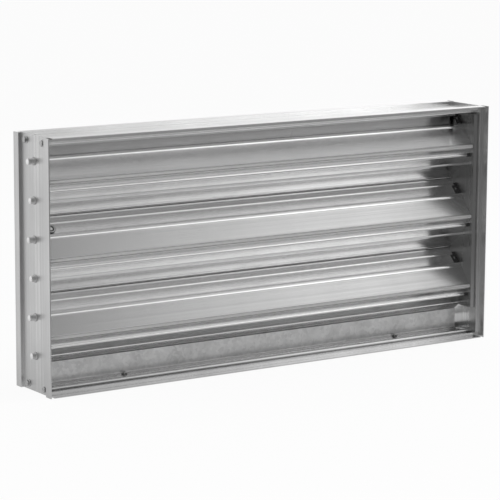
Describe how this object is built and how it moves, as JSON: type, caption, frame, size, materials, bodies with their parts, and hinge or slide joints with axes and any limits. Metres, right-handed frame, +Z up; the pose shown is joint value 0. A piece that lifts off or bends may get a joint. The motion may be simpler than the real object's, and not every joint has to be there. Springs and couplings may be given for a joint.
{
  "type": "rectangular air damper",
  "caption": "Rectangular opposed blade air damper: extruded frame with hollow aluminium blades on pivot pins, turned together by a train of gear wheels.",
  "frame": {"origin": "on the floor, midway between the jambs and midway between the front and rear faces", "axes": "+X along the blades towards the gear side, +Y from the front face to the rear face, +Z up"},
  "size_m": [0.9935, 0.127, 0.457],
  "materials": {
    "frame_aluminium": "mill finish extrusion",
    "blade_aluminium": "mill finish extrusion with fine lines",
    "galvanised_sheet": "galvanised with fine spangle",
    "stainless_strip": "rolled",
    "zinc_steel": "zinc plated",
    "pin_steel": "drawn bar",
    "spring_steel": "dark",
    "black_plastic": "moulded",
    "gear_nylon": "moulded",
    "grey_vinyl": "extruded"
  },
  "bodies": {
    "frame": {"jamb_left": "frame_aluminium", "jamb_right": "frame_aluminium", "head": "frame_aluminium", "sill": "frame_aluminium", "corner_screws_left": "zinc_steel", "corner_screws_right": "zinc_steel", "blank_off_panel": "galvanised_sheet", "panel_bar": "frame_aluminium", "panel_screws": "zinc_steel", "jamb_seal_left": "stainless_strip", "jamb_seal_right": "stainless_strip", "bushings_left": "black_plastic", "bushings_right": "black_plastic"},
    "vane_1": {"blade_1": "blade_aluminium", "pin_left_1": "pin_steel", "pin_right_1": "pin_steel", "edge_seals_1": "grey_vinyl", "end_caps_1": "black_plastic", "gear_1": "gear_nylon", "gear_clip_1": "spring_steel"},
    "vane_2": {"blade_2": "blade_aluminium", "pin_left_2": "pin_steel", "pin_right_2": "pin_steel", "edge_seals_2": "grey_vinyl", "end_caps_2": "black_plastic", "gear_2": "gear_nylon", "gear_clip_2": "spring_steel"},
    "vane_3": {"blade_3": "blade_aluminium", "pin_left_3": "pin_steel", "pin_right_3": "pin_steel", "edge_seals_3": "grey_vinyl", "end_caps_3": "black_plastic", "gear_3": "gear_nylon", "gear_clip_3": "spring_steel", "inspection_plug": "black_plastic"},
    "vane_4": {"blade_4": "blade_aluminium", "pin_left_4": "pin_steel", "pin_right_4": "pin_steel", "edge_seals_4": "grey_vinyl", "end_caps_4": "black_plastic", "gear_4": "gear_nylon", "gear_clip_4": "spring_steel"},
    "vane_5": {"blade_5": "blade_aluminium", "pin_left_5": "pin_steel", "pin_right_5": "pin_steel", "edge_seals_5": "grey_vinyl", "end_caps_5": "black_plastic", "gear_5": "gear_nylon", "gear_clip_5": "spring_steel"},
    "vane_6": {"blade_6": "blade_aluminium", "pin_left_6": "pin_steel", "pin_right_6": "pin_steel", "edge_seals_6": "grey_vinyl", "end_caps_6": "black_plastic", "gear_6": "gear_nylon", "gear_clip_6": "spring_steel"}
  },
  "joints": [
    {"name": "vane_1_turn", "type": "hinge", "parent": "frame", "child": "vane_1", "pos_m": [0, 0, 0.411], "axis": [-1, 0, 0], "range_deg": [0, 44.4]},
    {"name": "vane_2_turn", "type": "hinge", "parent": "frame", "child": "vane_2", "pos_m": [0, 0, 0.3418], "axis": [1, 0, 0], "range_deg": [0, 44.4]},
    {"name": "vane_3_turn", "type": "hinge", "parent": "frame", "child": "vane_3", "pos_m": [0, 0, 0.2726], "axis": [-1, 0, 0], "range_deg": [0, 44.4]},
    {"name": "vane_4_turn", "type": "hinge", "parent": "frame", "child": "vane_4", "pos_m": [0, 0, 0.2034], "axis": [1, 0, 0], "range_deg": [0, 44.4]},
    {"name": "vane_5_turn", "type": "hinge", "parent": "frame", "child": "vane_5", "pos_m": [0, 0, 0.1342], "axis": [-1, 0, 0], "range_deg": [0, 44.4]},
    {"name": "vane_6_turn", "type": "hinge", "parent": "frame", "child": "vane_6", "pos_m": [0, 0, 0.065], "axis": [1, 0, 0], "range_deg": [0, 44.4]}
  ],
  "couplings": [
    {"joint": "vane_2_turn", "follows": "vane_1_turn", "ratio": 1},
    {"joint": "vane_3_turn", "follows": "vane_1_turn", "ratio": 1},
    {"joint": "vane_4_turn", "follows": "vane_1_turn", "ratio": 1},
    {"joint": "vane_5_turn", "follows": "vane_1_turn", "ratio": 1},
    {"joint": "vane_6_turn", "follows": "vane_1_turn", "ratio": 1}
  ]
}
